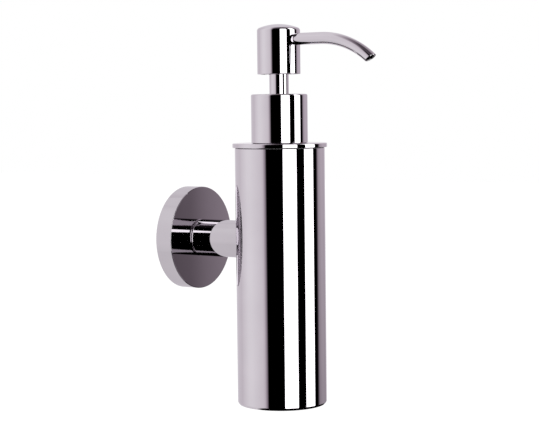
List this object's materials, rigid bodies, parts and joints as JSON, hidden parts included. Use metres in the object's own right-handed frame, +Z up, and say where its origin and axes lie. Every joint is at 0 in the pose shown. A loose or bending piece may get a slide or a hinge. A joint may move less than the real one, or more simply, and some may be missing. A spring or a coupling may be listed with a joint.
{
  "type": "wall-mounted soap dispenser",
  "caption": "Wall-mounted liquid soap dispenser: polished cylindrical sleeve on an arm and round rosette, with a lift-out bottle and a press pump with a curved spout.",
  "frame": {"origin": "on the wall, in the middle of the two wall screws and on the axis of the arm", "axes": "+Z up, along the bottle; +Y into the wall, so the dispenser stands out towards -Y; +X to the right for someone who faces the wall"},
  "size_m": [0.054, 0.1167, 0.1946],
  "materials": {
    "chrome": "mirror polished",
    "zinc_plate": "cast zinc alloy, matt",
    "screw_steel": "bright",
    "white_plastic": "moulded polypropylene",
    "milky_plastic": "milky polyethylene",
    "soft_seal": "soft"
  },
  "bodies": {
    "holder": {"wall_plate": "zinc_plate", "rosette": "chrome", "rosette_grub_screw": "screw_steel", "arm": "chrome", "arm_wall_bolt": "screw_steel", "arm_dowel": "screw_steel", "arm_body_bolt": "screw_steel", "saddle_washer": "screw_steel", "sleeve": "chrome", "sleeve_base": "chrome", "rim_gasket": "soft_seal"},
    "bottle": {"bottle": "milky_plastic", "rim_cover": "chrome"},
    "pump": {"neck_gasket": "soft_seal", "pump_housing": "white_plastic", "stem_guide": "white_plastic", "ball_retainer": "white_plastic", "dip_tube": "milky_plastic", "return_spring": "screw_steel"},
    "collar": {"closure": "white_plastic", "collar_shell": "chrome"},
    "plunger": {"piston_seal": "soft_seal"},
    "head": {"stem": "chrome", "head_core": "white_plastic", "head_shell": "chrome", "spout": "chrome"},
    "inlet_ball": {"inlet_ball": "screw_steel"},
    "outlet_ball": {"outlet_ball": "screw_steel"}
  },
  "joints": [
    {"name": "bottle_lift", "type": "slide", "parent": "holder", "child": "bottle", "axis": [0, 0, 1], "range_m": [0, 0.135]},
    {"name": "pump_rise", "type": "slide", "parent": "bottle", "child": "pump", "axis": [0, 0, 1], "range_m": [0, 0.0048]},
    {"name": "collar_turn", "type": "hinge", "parent": "pump", "child": "collar", "pos_m": [0, -0.0601, 0.0625], "axis": [0, 0, 1], "range_deg": [0, 540]},
    {"name": "pump_press", "type": "slide", "parent": "pump", "child": "plunger", "axis": [0, 0, -1], "range_m": [0, 0.0095], "stiffness_N_per_m": 600, "springref_m": -0.008, "deforming": ["return_spring"]},
    {"name": "head_swivel", "type": "hinge", "parent": "plunger", "child": "head", "pos_m": [0, -0.0601, 0.098], "axis": [0, 0, 1], "continuous": true},
    {"name": "inlet_ball_lift", "type": "slide", "parent": "pump", "child": "inlet_ball", "axis": [0, 0, 1], "range_m": [0, 0.0014]},
    {"name": "outlet_ball_lift", "type": "slide", "parent": "head", "child": "outlet_ball", "axis": [0, 0, 1], "range_m": [0, 0.0014]}
  ],
  "couplings": [
    {"joint": "pump_rise", "follows": "collar_turn", "m_per_rad": 0.000506}
  ]
}
